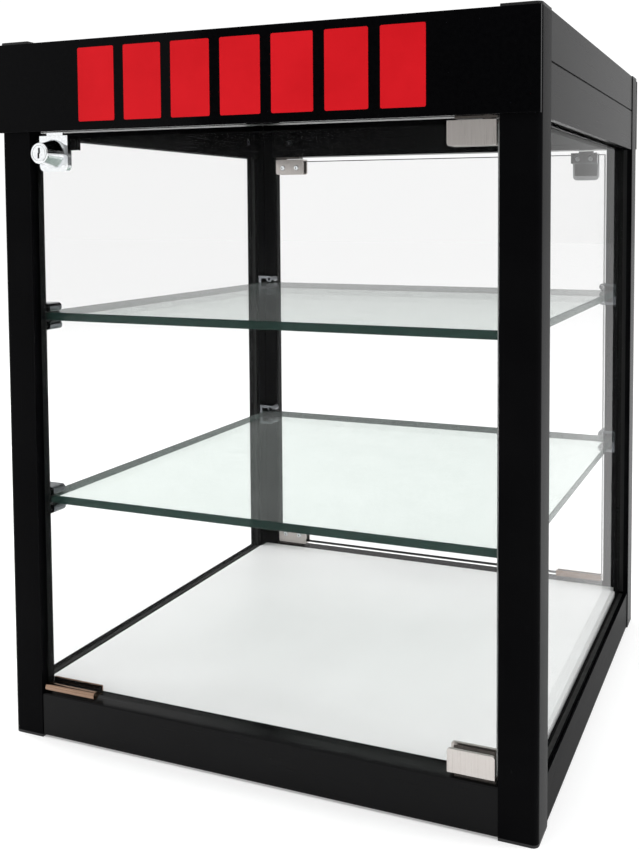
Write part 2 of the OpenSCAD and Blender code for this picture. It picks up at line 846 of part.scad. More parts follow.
module lower_seat_cut() translate([0, 0, rail_top]) {
    seat_shape(lower_rise, push_gap / 2);
    seat_screws_at(push_gap / 2);
}

module upper_seat_cut() translate([0, 0, header_z]) mirror([0, 0, 1]) {
    seat_shape(upper_rise, push_gap / 2);
    seat_screws_at(push_gap / 2);
}

module seats() {
    translate([0, 0, rail_top]) seat_shape(lower_rise);
    translate([0, 0, header_z]) mirror([0, 0, 1]) seat_shape(upper_rise);
}

module front_pivot_seats() color(nickel) seats();
module rear_pivot_seats() color(nickel) turned() seats();

module pivot_seat_screws() color(zinc) for (a = [0, 180]) rotate([0, 0, a]) {
    translate([0, 0, rail_top]) seat_screws_at();
    translate([0, 0, header_z]) mirror([0, 0, 1]) seat_screws_at();
}

// A channel over the bottom edge of the glass at the lock side, with a rounded front
module edge_clip_shape() {
    y1 = door_t + glass_gap;
    translate([door_x0 + edge_clip_edge, door_y0, door_z0]) rotate([90, 0, 90])
        linear_extrude(edge_clip_len) difference() {
            union() {
                translate([-edge_clip_front, -edge_clip_low]) circle(d = edge_clip_d);
                translate([-edge_clip_front, -edge_clip_t - glass_gap])
                    square([y1 + edge_clip_t + edge_clip_front, edge_clip_t]);
                translate([y1, -edge_clip_t - glass_gap])
                    square([edge_clip_t, edge_clip_back + edge_clip_t + glass_gap]);
            }
            translate([-glass_gap, -glass_gap])
                square([door_t + 2 * glass_gap, edge_clip_d]);
        }
}

// ---------- lock, drawn for the front ----------

module lock_front_outline() {
    z0 = door_z1 - lock_drop;
    difference() {
        translate([-lock_w / 2, z0]) rounded_rect([lock_w, lock_top - z0 + lock_r], lock_r);
        translate([-lock_w, lock_top]) square([2 * lock_w, lock_top]);
    }
}

module lock_body_shape() {
    back = door_y0 + door_t + pad_t;
    bridge_y = lock_y0 + lock_t - over;
    difference() {
        union() {
            translate([lock_x, lock_y0 + lock_t, 0]) rotate([90, 0, 0])
                linear_extrude(lock_t) lock_front_outline();
            translate([lock_x - lock_w / 2, bridge_y, door_z1 + glass_gap])
                cube([lock_w, back + lock_jaw_t - bridge_y, lock_bridge]);
            translate([lock_x - lock_w / 2, back, door_z1 - lock_jaw_h])
                cube([lock_w, lock_jaw_t, lock_jaw_h + lock_top - door_z1]);
            translate([lock_x, lock_y0, lock_z]) rotate([90, 0, 0]) barrel_shape();
        }
        // room for the bolt, open at the top
        translate([lock_x - bolt_w / 2 - push_gap, bolt_y - push_gap, bolt_low - push_gap])
            cube([bolt_w + 2 * push_gap, bolt_t + 2 * push_gap, lock_top - bolt_low + over]);
        // bore of the plug
        translate([lock_x, bolt_y, lock_z]) rotate([90, 0, 0])
            cylinder(d = plug_d + 2 * run_gap, h = barrel_len + lock_t);
        lock_grubs(push_gap / 2);
    }
}

// A turned barrel that narrows in a hollow curve towards its face
module barrel_shape() {
    steps = 10;
    r0 = barrel_base_d / 2;
    r1 = plug_d / 2 + barrel_wall;
    curve_len = barrel_len - barrel_band - barrel_edge;
    rotate_extrude($fn = 64) polygon(concat(
        [[0, 0], [r0, 0], [r0, barrel_band]],
        [for (i = [1 : steps]) let (t = i / steps)
            [r1 + (r0 - r1) * pow(1 - t, barrel_curve), barrel_band + curve_len * t]],
        [[r1 - barrel_edge, barrel_len], [0, barrel_len]]
    ));
}

// Places the two grub screws of the jaw; +Z runs along a screw, from the glass to its head
module at_lock_grubs() {
    for (s = [-1, 1])
        translate([lock_x + s * lock_w / 4, door_y0 + door_t + pad_t, door_z1 - lock_jaw_h / 2])
            rotate([-90, 0, 0]) children();
}

module lock_grubs(gap = 0) at_lock_grubs() translate([0, 0, -gap])
    cylinder(d = grub_d + 2 * gap, h = lock_jaw_t + grub_proud + 2 * gap);

module lock_grubs_shape() {
    difference() {
        lock_grubs();
        at_lock_grubs() translate([0, 0, lock_jaw_t + grub_proud]) hex_socket(grub_d);
    }
}

// One pad behind the lock body and one in front of its jaw, smaller all round
module lock_pads_shape() {
    x = lock_x - lock_w / 2 + pad_margin;
    wide = lock_w - 2 * pad_margin;
    front_z = door_z1 - lock_drop + lock_r;
    jaw_z = door_z1 - lock_jaw_h + pad_margin / 2;
    top_z = door_z1 - pad_margin / 2;
    translate([x, door_y0 - pad_t, front_z]) cube([wide, pad_t, top_z - front_z]);
    translate([x, door_y0 + door_t, jaw_z]) cube([wide, pad_t, top_z - jaw_z]);
}

// Two upright slots that meet at the axis, one stepped to the left and one to the right
module keyway() {
    for (s = [-1, 1])
        translate([s * keyway_step / 2, s * keyway_h / 4])
            square([keyway_w, keyway_h / 2 + keyway_step], center = true);
}

// The plug turns in the barrel; its drive pin lifts the bolt
module plug_shape() {
    face_y = lock_y0 - barrel_len;
    inner_y = bolt_y - push_gap;
    translate([lock_x, inner_y, lock_z]) rotate([90, 0, 0]) difference() {
        cylinder(d = plug_d, h = inner_y - face_y);
        translate([0, 0, inner_y - face_y - keyway_deep])
            linear_extrude(keyway_deep + over) keyway();
    }
    translate([lock_x + pin_throw * cos(45), inner_y - over, lock_z - pin_throw * sin(45)])
        rotate([-90, 0, 0]) cylinder(d = drive_pin_d, h = bolt_t + push_gap + over);
}

module bolt_shape() {
    slot_h = drive_pin_d + drive_play;
    reach = pin_throw * (1 - cos(45));
    mid = pin_throw * (1 + cos(45)) / 2;
    slot_l = reach + drive_pin_d + drive_play;
    translate([lock_x, bolt_y, 0]) difference() {
        translate([-bolt_w / 2, 0, bolt_low]) cube([bolt_w, bolt_t, bolt_top - bolt_low]);
        translate([mid - slot_l / 2, -over, lock_z - pin_throw * sin(45) - slot_h / 2])
            cube([slot_l, bolt_t + 2 * over, slot_h]);
    }
}

// ---------- the front door's nodes and the rear door's nodes ----------

module front_door_glass() color(glass_tint) door_glass_shape();
module front_upper_hinge() color(nickel) at_upper() hinge_shape();
module front_lower_hinge() color(nickel) at_lower() hinge_shape();
module front_hinge_pins() color(zinc) at_both() hinge_pin_shape();
module front_hinge_pads() color(rubber_black) at_both() hinge_pads_shape();
module front_hinge_screws() color(chrome_grey) at_both() hinge_screws_shape();
module front_edge_clip() color(bronze) edge_clip_shape();
module front_lock_body() color(chrome_grey) lock_body_shape();
module front_lock_pads() color(rubber_black) lock_pads_shape();
module front_lock_grub_screws() color(zinc) lock_grubs_shape();
module front_lock_plug() color(chrome_grey) plug_shape();
module front_lock_bolt() color(chrome_grey) bolt_shape();

module rear_door_glass() turned() front_door_glass();
module rear_upper_hinge() turned() front_upper_hinge();
module rear_lower_hinge() turned() front_lower_hinge();
module rear_hinge_pins() turned() front_hinge_pins();
module rear_hinge_pads() turned() front_hinge_pads();
module rear_hinge_screws() turned() front_hinge_screws();
module rear_edge_clip() turned() front_edge_clip();
module rear_lock_body() turned() front_lock_body();
module rear_lock_pads() turned() front_lock_pads();
module rear_lock_grub_screws() turned() front_lock_grub_screws();
module rear_lock_plug() turned() front_lock_plug();
module rear_lock_bolt() turned() front_lock_bolt();

front_left_post();
front_right_post();
rear_left_post();
rear_right_post();
post_top_caps();
post_foot_caps();
front_bottom_rail();
rear_bottom_rail();
left_bottom_rail();
right_bottom_rail();
front_header_rail();
rear_header_rail();
left_header();
right_header();
front_fascia();
rear_fascia();
fascia_graphics();
top_panel();
deck_board();
left_glass();
right_glass();
glazing_seals();
frame_connectors();
connector_screws();
upper_shelf();
lower_shelf();
upper_shelf_clips();
lower_shelf_clips();
shelf_clip_pads();
shelf_clip_screws();
front_pivot_seats();
rear_pivot_seats();
pivot_seat_screws();
front_door_glass();
front_upper_hinge();
front_lower_hinge();
front_hinge_pins();
front_hinge_pads();
front_hinge_screws();
front_edge_clip();
front_lock_body();
front_lock_pads();
front_lock_grub_screws();
front_lock_plug();
front_lock_bolt();
rear_door_glass();
rear_upper_hinge();
rear_lower_hinge();
rear_hinge_pins();
rear_hinge_pads();
rear_hinge_screws();
rear_edge_clip();
rear_lock_body();
rear_lock_pads();
rear_lock_grub_screws();
rear_lock_plug();
rear_lock_bolt();
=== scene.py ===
"""Tabletop display case: black extruded frame, gloss fascias, glass doors, sides and shelves."""
import json
import math

import bmesh
import bpy
from mathutils import Matrix, Vector

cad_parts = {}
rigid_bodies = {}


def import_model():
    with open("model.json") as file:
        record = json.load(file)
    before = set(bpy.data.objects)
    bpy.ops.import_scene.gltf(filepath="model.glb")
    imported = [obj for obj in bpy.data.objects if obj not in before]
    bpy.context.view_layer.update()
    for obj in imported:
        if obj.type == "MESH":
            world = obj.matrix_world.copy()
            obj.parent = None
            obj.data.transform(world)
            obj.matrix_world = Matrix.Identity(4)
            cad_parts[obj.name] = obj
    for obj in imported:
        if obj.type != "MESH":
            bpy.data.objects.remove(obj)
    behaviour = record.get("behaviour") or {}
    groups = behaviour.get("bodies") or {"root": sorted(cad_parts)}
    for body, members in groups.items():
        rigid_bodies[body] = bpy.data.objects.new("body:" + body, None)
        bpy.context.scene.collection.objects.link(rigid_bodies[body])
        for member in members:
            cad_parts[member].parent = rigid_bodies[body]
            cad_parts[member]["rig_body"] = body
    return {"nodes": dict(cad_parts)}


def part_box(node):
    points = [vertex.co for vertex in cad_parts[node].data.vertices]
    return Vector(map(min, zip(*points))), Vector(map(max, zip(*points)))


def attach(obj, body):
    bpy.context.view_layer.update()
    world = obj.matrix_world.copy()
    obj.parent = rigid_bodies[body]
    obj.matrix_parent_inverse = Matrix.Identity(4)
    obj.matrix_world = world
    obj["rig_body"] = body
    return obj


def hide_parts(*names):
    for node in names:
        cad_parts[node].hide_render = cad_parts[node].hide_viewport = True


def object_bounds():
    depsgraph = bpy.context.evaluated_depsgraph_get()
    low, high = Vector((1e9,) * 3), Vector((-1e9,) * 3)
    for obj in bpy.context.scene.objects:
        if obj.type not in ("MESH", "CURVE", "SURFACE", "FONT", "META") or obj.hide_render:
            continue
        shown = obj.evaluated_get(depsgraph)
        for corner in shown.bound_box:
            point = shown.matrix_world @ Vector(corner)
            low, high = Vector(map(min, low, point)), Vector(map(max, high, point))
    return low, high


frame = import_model()
cad_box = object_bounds()

MM = 0.001


# ---------- materials ----------

# how marks are drawn out: an axis with a small number has long marks along it
UP = (1.0, 1.0, 0.012)
ACROSS = (0.012, 1.0, 1.0)
ALONG = (1.0, 0.012, 1.0)
EVEN = (1.0, 1.0, 1.0)

# nearly all of a noise lies in the first range, and two colours blend over the second
NOISE_RANGE = (0.3, 0.7)
BLEND_RANGE = (0.35, 0.65)
NOISE_ROUGHNESS = 0.55

GLASS_IOR = 1.52


def hex_colour(code):
    """Linear RGBA from an sRGB hex code."""
    parts = [int(code[i:i + 2], 16) / 255 for i in (1, 3, 5)]
    linear = [p / 12.92 if p <= 0.04045 else ((p + 0.055) / 1.055) ** 2.4 for p in parts]
    return (*linear, 1.0)


def add(tree, kind, sockets=None, **settings):
    """Adds one node, with its settings, and its sockets set to values or linked to outputs;
    a list of outputs goes to one socket that takes several."""
    node = tree.nodes.new(kind)
    for name, value in settings.items():
        setattr(node, name, value)
    for key, value in (sockets or {}).items():
        if isinstance(value, bpy.types.NodeSocket):
            tree.links.new(value, node.inputs[key])
        elif isinstance(value, list):
            for output in value:
                tree.links.new(output, node.inputs[key])
        else:
            node.inputs[key].default_value = value
    return node


def new_material(name):
    """An empty material, its tree, and the socket that its shader goes to."""
    material = bpy.data.materials.new(name)
    material.use_nodes = True
    tree = material.node_tree
    tree.nodes.clear()
    return material, tree, add(tree, "ShaderNodeOutputMaterial").inputs["Surface"]


def marks(tree, size, detail=3.0, stretch=EVEN):
    """Noise with features about size metres across, drawn out as stretch says."""
    place = add(tree, "ShaderNodeTexCoord")
    scaled = add(tree, "ShaderNodeMapping", {
        "Vector": place.outputs["Object"], "Scale": tuple(s / size for s in stretch)})
    noise = add(tree, "ShaderNodeTexNoise", {
        "Vector": scaled.outputs["Vector"], "Scale": 1.0, "Detail": detail,
        "Roughness": NOISE_ROUGHNESS})
    return noise.outputs["Fac"]


def solid(tree, tone, dark, light, rough=None, relief=None, others=None):
    """A solid surface's shader. Its colour goes from dark to light as the tone marks do. rough is
    the marks that its roughness follows, its least and its most. relief is the marks that stand
    up from it, how sharply, and how high in metres. others are further sockets."""
    sockets = dict(others or {})
    ramp = add(tree, "ShaderNodeValToRGB", {"Fac": tone})
    for stop, position, code in zip(ramp.color_ramp.elements, BLEND_RANGE, (dark, light)):
        stop.position = position
        stop.color = hex_colour(code)
    sockets["Base Color"] = ramp.outputs["Color"]
    if rough:
        source, least, most = rough
        spread = add(tree, "ShaderNodeMapRange", {
            "Value": source, "From Min": NOISE_RANGE[0], "From Max": NOISE_RANGE[1],
            "To Min": least, "To Max": most})
        sockets["Roughness"] = spread.outputs["Result"]
    if relief:
        source, strength, height = relief
        bump = add(tree, "ShaderNodeBump", {
            "Height": source, "Strength": strength, "Distance": height})
        sockets["Normal"] = bump.outputs["Normal"]
    return add(tree, "ShaderNodeBsdfPrincipled", sockets).outputs["BSDF"]


def anodised_aluminium(name, stretch, gleam):
    """Black anodised aluminium extrusion: satin black, with faint die lines along its length.
    gleam is how strongly it mirrors. Real die lines are about 0.1 mm apart, too fine to show,
    so they are drawn 1.1 mm apart."""
    material, tree, surface = new_material(name)
    lines = marks(tree, 1.1 * MM, stretch=stretch)
    cloud = marks(tree, 60 * MM)
    shader = solid(tree, cloud, "#050506", "#080809", rough=(lines, 0.26, 0.275),
                   relief=(lines, 0.04, 0.001 * MM), others={"Specular IOR Level": gleam})
    tree.links.new(shader, surface)
    return material


def gloss_acrylic():
    """Black cast acrylic: deep black, mirror-like, with a slow wave from casting and faint swirls
    from wiping. The swirls stand for scratches far finer than the 3 mm that shows."""
    material, tree, surface = new_material("gloss_black_acrylic")
    swirl = marks(tree, 3 * MM, detail=6.0)
    wave = marks(tree, 120 * MM, detail=1.0)
    shader = solid(tree, swirl, "#020203", "#040405", rough=(swirl, 0.05, 0.09),
                   relief=(wave, 0.3, 0.3 * MM), others={"Specular IOR Level": 0.035})
    tree.links.new(shader, surface)
    return material


def vinyl_film():
    """Calendered vinyl film: even red, softer than the acrylic under it, with the orange peel of
    its rollers. The peel is about 0.3 mm across on real film and 0.9 mm here, so that it shows."""
    material, tree, surface = new_material("red_vinyl_film")
    peel = marks(tree, 0.9 * MM)
    tone = marks(tree, 40 * MM)
    shader = solid(tree, tone, "#c50f19", "#cd131d", rough=(peel, 0.4, 0.5),
                   relief=(peel, 0.25, 0.03 * MM), others={"Specular IOR Level": 0.08})
    tree.links.new(shader, surface)
    return material


def white_laminate():
    """White melamine laminate pressed on board: flat white, with the fine pebble of the press
    plate. The pebble is drawn at 0.8 mm, about twice its real size."""
    material, tree, surface = new_material("white_laminate")
    pebble = marks(tree, 0.8 * MM, detail=4.0)
    cloud = marks(tree, 70 * MM, detail=4.0)
    shader = solid(tree, cloud, "#ececec", "#f0f0f0", rough=(pebble, 0.4, 0.52),
                   relief=(pebble, 0.2, 0.04 * MM))
    tree.links.new(shader, surface)
    return material


def powder_coat():
    """Black powder coat, sprayed and baked on sheet: matt, with orange peel 1.4 mm across."""
    material, tree, surface = new_material("black_powder_coat")
    peel = marks(tree, 1.4 * MM, detail=2.0)
    cloud = marks(tree, 90 * MM)
    shader = solid(tree, cloud, "#141415", "#19191a", rough=(peel, 0.42, 0.55),
                   relief=(peel, 0.45, 0.08 * MM), others={"Specular IOR Level": 0.35})
    tree.links.new(shader, surface)
    return material


def moulded_plastic():
    """Moulded nylon: soft black, with the grain of a spark-eroded mould. The grain is drawn at
    0.6 mm; the real one is about 0.1 mm and wouldn't show."""
    material, tree, surface = new_material("black_moulded_nylon")
    skin = marks(tree, 0.6 * MM, detail=2.0)
    cloud = marks(tree, 8 * MM)
    shader = solid(tree, cloud, "#111112", "#171718", rough=(skin, 0.4, 0.52),
                   relief=(skin, 0.4, 0.05 * MM), others={"Specular IOR Level": 0.35})
    tree.links.new(shader, surface)
    return material


def rubber(name, dark, light):
    """Extruded or moulded rubber: dull, with a dusty bloom in patches 6 mm across."""
    material, tree, surface = new_material(name)
    bloom = marks(tree, 6 * MM, detail=4.0)
    skin = marks(tree, 0.5 * MM)
    shader = solid(tree, bloom, dark, light, rough=(bloom, 0.62, 0.8),
                   relief=(skin, 0.3, 0.03 * MM), others={"Specular IOR Level": 0.3})
    tree.links.new(shader, surface)
    return material


def plated_metal(name, dark, light, least, most, spacing, depth, stretch=EVEN):
    """Metal with the marks of its making: their spacing and depth in metres, drawn out as stretch
    says, and the least and most roughness that they give it. Real brush lines and plating mottle
    are under 0.1 mm; the spacings are as coarse as they need to be to show."""
    material, tree, surface = new_material(name)
    made = marks(tree, spacing, stretch=stretch)
    shader = solid(tree, made, dark, light, rough=(made, least, most),
                   relief=(made, 0.5, depth), others={"Metallic": 1.0})
    tree.links.new(shader, surface)
    return material


def float_glass(name, tint, haze_and_veil, slant):
    """The fire-polished face of soda-lime float glass: clear, mirroring more at a shallow angle,
    with a thin film of dust that shows as a faint haze, uneven over 35 mm. A larger slant holds
    the mirroring back. On the doors and sides the white layer is faint dust; on the shelves it is
    made strong, a painted reflection that stands in for the grey veil the glass mirrors."""
    material, tree, surface = new_material(name)
    side = add(tree, "ShaderNodeNewGeometry")
    # the index is turned over on the inner side of a face, so both sides mirror alike
    index = add(tree, "ShaderNodeMapRange", {
        "Value": side.outputs["Backfacing"], "To Min": GLASS_IOR, "To Max": 1 / GLASS_IOR})
    bounce = add(tree, "ShaderNodeFresnel", {"IOR": index.outputs["Result"]})
    mirror = add(tree, "ShaderNodeMath", {0: bounce.outputs["Fac"], 1: slant}, operation="POWER")
    clear = add(tree, "ShaderNodeBsdfTransparent", {"Color": hex_colour(tint)})
    gloss = add(tree, "ShaderNodeBsdfGlossy", {"Color": (1, 1, 1, 1), "Roughness": 0.0})
    pane = add(tree, "ShaderNodeMixShader", {
        0: mirror.outputs["Value"], 1: clear.outputs["BSDF"], 2: gloss.outputs["BSDF"]})
    # a flat white layer: faint dust on the doors and sides, and on the shelves a painted reflection
    dust_and_veil = add(tree, "ShaderNodeBsdfDiffuse", {"Color": hex_colour("#e8ebea")})
    share = add(tree, "ShaderNodeMapRange", {
        "Value": marks(tree, 35 * MM, detail=6.0), "From Min": NOISE_RANGE[0],
        "From Max": NOISE_RANGE[1], "To Min": haze_and_veil * 0.6, "To Max": haze_and_veil})
    dusty_and_veiled = add(tree, "ShaderNodeMixShader", {
        0: share.outputs["Result"], 1: pane.outputs["Shader"], 2: dust_and_veil.outputs["BSDF"]})
    tree.links.new(dusty_and_veiled.outputs["Shader"], surface)
    return material


def glass_edge(name, dark, light, clear_share, gleam):
    """The ground and polished edge of float glass, with wheel marks drawn at 1.2 mm so that they
    show.
    Its colour goes from dark to light: bottle green on a shelf, because it is seen along the sheet;
    on the doors and sides, a painted highlight (light grey) or painted shade (near black)."""
    material, tree, surface = new_material(name)
    wheel = marks(tree, 1.2 * MM, detail=4.0)
    body = solid(tree, wheel, dark, light, rough=(wheel, 0.1, 0.25),
                 others={"Specular IOR Level": gleam})
    through = add(tree, "ShaderNodeBsdfTransparent", {"Color": hex_colour("#8fb3a8")})
    edge = add(tree, "ShaderNodeMixShader", {0: clear_share, 1: body, 2: through.outputs["BSDF"]})
    tree.links.new(edge.outputs["Shader"], surface)
    return material


def backdrop_paper():
    """Seamless white paper: matt, with the faintest fibre, and lit a little from below."""
    material, tree, surface = new_material("white_backdrop_paper")
    fibre = marks(tree, 2 * MM)
    shader = solid(tree, fibre, "#e6e6e6", "#e9e9e9", others={
        "Roughness": 0.9, "Specular IOR Level": 0.1,
        "Emission Color": (1, 1, 1, 1), "Emission Strength": 0.26})
    tree.links.new(shader, surface)
    return material


LOOKS = {
    "post": anodised_aluminium("anodised_aluminium_upright", UP, 0.015),
    "front_bar": anodised_aluminium("anodised_aluminium_crosswise", ACROSS, 0.1),
    "side_bar": anodised_aluminium("anodised_aluminium_lengthwise", ALONG, 0.03),
    "side_rail": anodised_aluminium("anodised_aluminium_low_sheen", ALONG, 0.003),
    "fascia": gloss_acrylic(),
    "film": vinyl_film(),
    "board": white_laminate(),
    "sheet": powder_coat(),
    "cap": moulded_plastic(),
    "rubber": rubber("epdm_rubber", "#0d0d0d", "#161615"),
    # undyed silicone between metal and glass: greyish, so it doesn't show through the pane
    "pad": rubber("grey_silicone", "#66605c", "#78726d"),
    # polished chrome on brass: bright, with hardly any marks
    "chrome": plated_metal(
        "polished_chrome", "#d3d5d7", "#dee0e1", 0.05, 0.08, 1.5 * MM, 0.002 * MM),
    # smoked chrome: the same plate under a dark film
    "smoked": plated_metal(
        "smoked_chrome", "#5b5e61", "#6f7275", 0.05, 0.1, 1.5 * MM, 0.002 * MM),
    # brushed nickel: fine upright brush lines, slightly warm
    "nickel": plated_metal(
        "brushed_nickel", "#bdb7b3", "#c4bfbb", 0.27, 0.31, 0.3 * MM, 0.001 * MM, UP),
    # the same nickel on stamped parts: rougher, with a pressed skin, and darker in colour, a
    # painted shade for the dark inside of the case that these parts mirror
    "shaded_nickel": plated_metal(
        "stamped_nickel_painted_shade", "#57524f", "#67625e", 0.34, 0.46, 0.9 * MM, 0.006 * MM),
    # satin bronze anodising on a folded strip: a soft brown gleam along the strip
    "bronze": plated_metal(
        "satin_bronze", "#7a6151", "#9b8270", 0.14, 0.2, 0.5 * MM, 0.003 * MM, ACROSS),
    # black zinc plating: nearly black, with a soft mottle
    "black_zinc": plated_metal(
        "black_zinc_plate", "#232426", "#343638", 0.3, 0.42, 0.7 * MM, 0.006 * MM),
    # bright zinc plating: grey, with a soft mottle
    "zinc": plated_metal(
        "zinc_plated_steel", "#8f9296", "#a7abae", 0.26, 0.4, 0.7 * MM, 0.006 * MM),
    "door_face": float_glass("float_glass_door", "#fbfbfb", 0.003, 2.2),
    "side_face": float_glass("float_glass_side", "#fafafa", 0.004, 2.2),
    # the shelves' strong haze is a painted reflection, a grey veil of mirrored light on the glass
    "shelf_face": float_glass("float_glass_shelf", "#f0f4f2", 0.09, 1.8),
    # a painted highlight on the door edges towards +X, and painted shade on the other door and
    # side-pane edges
    "lit_edge": glass_edge("painted_lit_glass_edge", "#c3c7c5", "#d6d9d7", 0.0, 0.3),
    "painted_shade_edge": glass_edge("painted_shade_glass_edge", "#030404", "#070908", 0.0, 0.05),
    "shelf_edge": glass_edge("shelf_glass_edge", "#0e211c", "#1d3731", 0.05, 0.1),
}


# ---------- pieces made from the frame's own shapes ----------

SAME_POINT = 0.002 * MM
FLAT_WITHIN = math.radians(0.5)
SHARP_FROM = math.radians(35)
ROUNDING_STEPS = 2
# a pane's faces and edges are told apart by how squarely they look along its thin axis or to +X; on
# the doors the edge towards +X gets a painted highlight and the others painted shade
LARGE_FACE = 0.99
LIT_EDGE_FACING = 0.5


def body_of(node):
    """The body that a node rides on."""
    return frame["nodes"][node]["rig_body"]


def shape_of(node):
    """A merged copy of a node's mesh, flat faces joined."""
    shape = bmesh.new()
    shape.from_mesh(frame["nodes"][node].data)
    bmesh.ops.remove_doubles(shape, verts=shape.verts, dist=SAME_POINT)
    bmesh.ops.dissolve_limit(
        shape, angle_limit=FLAT_WITHIN, verts=shape.verts, edges=shape.edges)
    return shape


def make_piece(name, shape, looks, node, round_by=0.0):
    """A finished object from a bmesh, in place of a node: smooth faces, rounded edges, its
    materials and its body."""
    mesh = bpy.data.meshes.new(name)
    shape.to_mesh(mesh)
    shape.free()
    for look in looks:
        mesh.materials.append(LOOKS[look])
    mesh.shade_smooth()
    mesh.set_sharp_from_angle(angle=SHARP_FROM)
    piece = bpy.data.objects.new(name, mesh)
    bpy.context.scene.collection.objects.link(piece)
    if round_by:
        edge = piece.modifiers.new("rounded_edges", "BEVEL")
        edge.width = round_by
        edge.segments = ROUNDING_STEPS
        edge.limit_method = "ANGLE"
        edge.angle_limit = SHARP_FROM
        edge.harden_normals = True
        edge.use_clamp_overlap = True
    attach(piece, body_of(node))
    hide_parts(node)


def rounded_copy(node, look, round_by):
    """The node's own shape with its edges rounded."""
    make_piece(node + "_finished", shape_of(node), [look], node, round_by)


def dress(node, look):
    """Gives a node that keeps its own mesh its material."""
    data = frame["nodes"][node].data
    data.materials.clear()
    data.materials.append(LOOKS[look])


def glass_pane(node, face, edge, far_edge, arris):
    """A sheet of glass with ground arrises: its two large faces clear, its edges green on the
    shelves.
    edge is the look of the edge towards +X and far_edge of all the others; on the doors these are a
    painted highlight and painted shade."""
    low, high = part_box(node)
    size = high - low
    thin = min(range(3), key=lambda i: size[i])
    shape = bmesh.new()
    whole = Matrix.LocRotScale((low + high) / 2, None, size)
    bmesh.ops.create_cube(shape, size=1.0, matrix=whole)
    bmesh.ops.bevel(
        shape, geom=list(shape.edges), offset=arris, segments=1, affect="EDGES", profile=0.5)
    shape.normal_update()
    for side in shape.faces:
        if abs(side.normal[thin]) > LARGE_FACE:
            side.material_index = 0
        else:
            # the edge towards +X takes the first edge look (a painted highlight on the doors), the
            # rest the second (painted shade)
            side.material_index = 1 if side.normal.x > LIT_EDGE_FACING else 2
    make_piece(node + "_pane", shape, [face, edge, far_edge], node)


# ---------- pieces that repeat, made by Geometry Nodes ----------

ROUND_SIDES = 40
CORNER_STEPS = 6
FILM_CORNER = 1.2 * MM
# a socket screw's chamfer and socket as shares of its diameter and length
CHAMFER_SHARE = 0.08
SOCKET_SHARE = 0.5
SOCKET_DEPTH_SHARE = 0.45
DEEPEST_SOCKET = 1.5 * MM


def new_group(name, inputs):
    """A Geometry Nodes tree with its named inputs, given as (label, kind, value), and one
    output."""
    tree = bpy.data.node_groups.new(name, "GeometryNodeTree")
    for label, kind, value in inputs:
        socket = tree.interface.new_socket(
            label, in_out="INPUT", socket_type="NodeSocket" + kind)
        if value is not None:
            socket.default_value = value
    tree.interface.new_socket("Geometry", in_out="OUTPUT", socket_type="NodeSocketGeometry")
    return tree, add(tree, "NodeGroupInput").outputs


def raised(tree, geometry, height):
    """The geometry moved along Z."""
    shift = add(tree, "ShaderNodeCombineXYZ", {"Z": height})
    return add(tree, "GeometryNodeTransform", {
        "Geometry": geometry, "Translation": shift.outputs["Vector"]}).outputs["Geometry"]


def set_out(tree, instance, points, rotation, material):
    """Puts the instance on every point, makes it real and gives it its material."""
    placed = add(tree, "GeometryNodeInstanceOnPoints", {
        "Points": points, "Instance": instance, "Rotation": rotation})
    real = add(tree, "GeometryNodeRealizeInstances", {"Geometry": placed.outputs["Instances"]})
    finished = add(tree, "GeometryNodeSetMaterial", {
        "Geometry": real.outputs["Geometry"], "Material": material})
    add(tree, "NodeGroupOutput", {"Geometry": finished.outputs["Geometry"]})


def socket_screw_tree():
    """Socket screws: a rod with a chamfered end and a hexagon sunk in it. Each point's own
    direction attribute says where that end looks."""
    tree, given = new_group("socket_screws", (
        ("Geometry", "Geometry", None), ("Diameter", "Float", 5 * MM),
        ("Length", "Float", 3 * MM), ("Chamfer", "Float", 0.4 * MM),
        ("Socket Width", "Float", 2.5 * MM), ("Socket Depth", "Float", 1.2 * MM),
        ("Material", "Material", None)))
    half = {label: add(tree, "ShaderNodeMath", {0: given[label], 1: 0.5}, operation="MULTIPLY")
            for label in ("Diameter", "Length", "Socket Width")}
    radius, half_long, corner = (node.outputs["Value"] for node in half.values())
    rod = add(tree, "GeometryNodeMeshCylinder", {
        "Vertices": ROUND_SIDES, "Radius": radius, "Depth": given["Length"]})
    # a cone that widens as fast as it goes down leaves a 45 degree chamfer at the top of the rod
    tip = add(tree, "ShaderNodeMath", {0: radius, 1: given["Chamfer"]}, operation="SUBTRACT")
    foot = add(tree, "ShaderNodeMath", {
        0: tip.outputs["Value"], 1: given["Length"]}, operation="ADD")
    cone = add(tree, "GeometryNodeMeshCone", {
        "Vertices": ROUND_SIDES, "Radius Top": tip.outputs["Value"],
        "Radius Bottom": foot.outputs["Value"], "Depth": given["Length"]})
    drop = add(tree, "ShaderNodeMath", {0: half_long, 1: -1.0}, operation="MULTIPLY")
    centred = raised(tree, cone.outputs["Mesh"], drop.outputs["Value"])
    chamfered = add(tree, "GeometryNodeMeshBoolean", {
        "Mesh 2": [rod.outputs["Mesh"], centred]}, operation="INTERSECT", solver="EXACT")
    twice_deep = add(tree, "ShaderNodeMath", {
        0: given["Socket Depth"], 1: 2.0}, operation="MULTIPLY")
    hexagon = add(tree, "GeometryNodeMeshCylinder", {
        "Vertices": 6, "Radius": corner, "Depth": twice_deep.outputs["Value"]})
    sunk = add(tree, "GeometryNodeMeshBoolean", {
        "Mesh 1": chamfered.outputs["Mesh"],
        "Mesh 2": raised(tree, hexagon.outputs["Mesh"], half_long)},
        operation="DIFFERENCE", solver="EXACT")
    way = add(tree, "GeometryNodeInputNamedAttribute", {
        "Name": "direction"}, data_type="FLOAT_VECTOR")
    turn = add(tree, "FunctionNodeAlignRotationToVector", {
        "Vector": way.outputs["Attribute"]}, axis="Z")
    set_out(tree, sunk.outputs["Mesh"], given["Geometry"], turn.outputs["Rotation"],
            given["Material"])
    return tree


